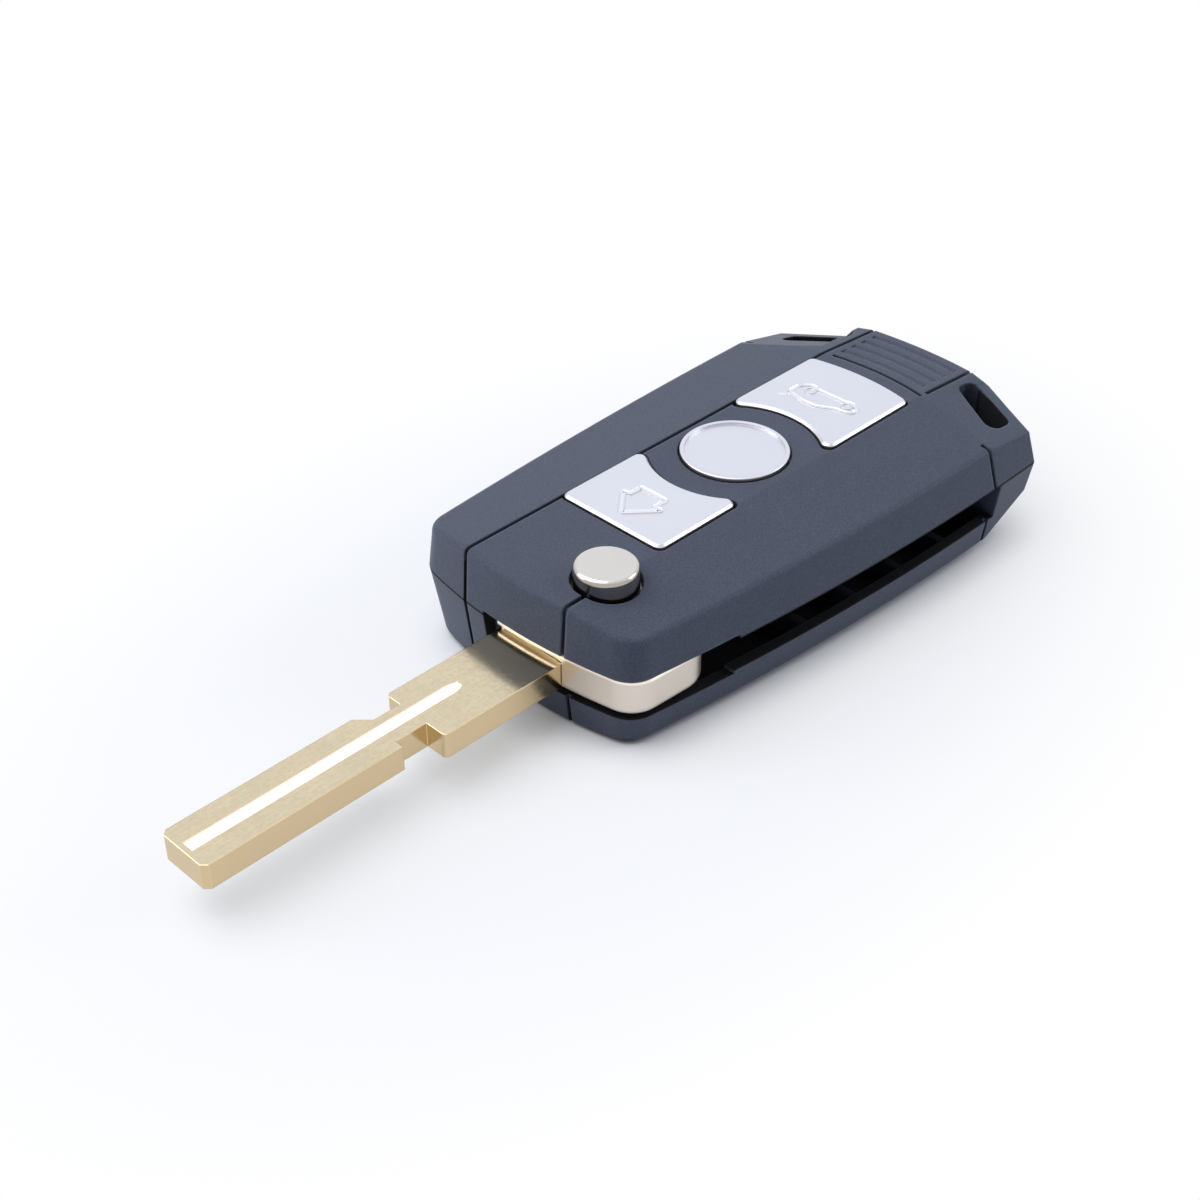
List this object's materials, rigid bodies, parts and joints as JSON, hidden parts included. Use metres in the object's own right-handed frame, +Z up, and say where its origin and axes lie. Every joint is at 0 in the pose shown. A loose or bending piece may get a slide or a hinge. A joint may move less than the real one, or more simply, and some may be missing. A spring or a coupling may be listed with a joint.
{
  "type": "flip key shell",
  "caption": "Folding car key shell in dark soft-touch plastic with chrome-look buttons, a metal flip button and an uncut brass blade that swings out of a side slot.",
  "frame": {"origin": "under the middle of the whole length, on the plane the case rests on", "axes": "+X from the blade's tip to the key ring end, +Y to the left seen from the key ring end, away from the blade slot, +Z up out of the buttons"},
  "size_m": [0.1096, 0.0388, 0.0169],
  "materials": {
    "case_plastic": "fine soft-touch grain",
    "button_metal": "satin bright coating",
    "pad_rubber": "matt",
    "inner_plastic": "moulded",
    "screw_steel": "zinc plated",
    "spring_steel": "drawn",
    "nickel": "nickel plated, satin",
    "blade_brass": "milled and lightly polished"
  },
  "bodies": {
    "case": {"upper_case": "case_plastic", "lower_case": "case_plastic", "button_pad": "pad_rubber", "board_frame": "inner_plastic", "blade_guard": "inner_plastic", "inner_screws": "screw_steel", "case_screws": "screw_steel", "index_ring": "spring_steel", "flip_spring": "spring_steel", "spring_seat": "spring_steel", "pivot_screw": "screw_steel", "head_washer": "spring_steel", "chip_holder": "inner_plastic"},
    "blade": {"blade_head": "nickel", "key_blade": "blade_brass", "blade_pin": "spring_steel"},
    "flip": {"flip_button": "nickel"},
    "lock": {"lock_button": "button_metal"},
    "unlock": {"unlock_button": "button_metal"},
    "boot": {"boot_button": "button_metal"}
  },
  "joints": [
    {"name": "blade_flip", "type": "hinge", "parent": "case", "child": "blade", "pos_m": [-0.00625, -0.0066, 0], "axis": [0, 0, 1], "range_deg": [0, 180], "stiffness_Nm_per_rad": 0.0004},
    {"name": "flip_press", "type": "slide", "parent": "blade", "child": "flip", "axis": [0, 0, -1], "range_m": [0, 0.0018], "stiffness_N_per_m": 400, "springref_m": -0.001, "deforming": ["flip_spring"]},
    {"name": "lock_press", "type": "slide", "parent": "case", "child": "lock", "axis": [0, 0, -1], "range_m": [0, 0.0004], "stiffness_N_per_m": 3000},
    {"name": "unlock_press", "type": "slide", "parent": "case", "child": "unlock", "axis": [0, 0, -1], "range_m": [0, 0.0004], "stiffness_N_per_m": 3000},
    {"name": "boot_press", "type": "slide", "parent": "case", "child": "boot", "axis": [0, 0, -1], "range_m": [0, 0.0004], "stiffness_N_per_m": 3000}
  ]
}
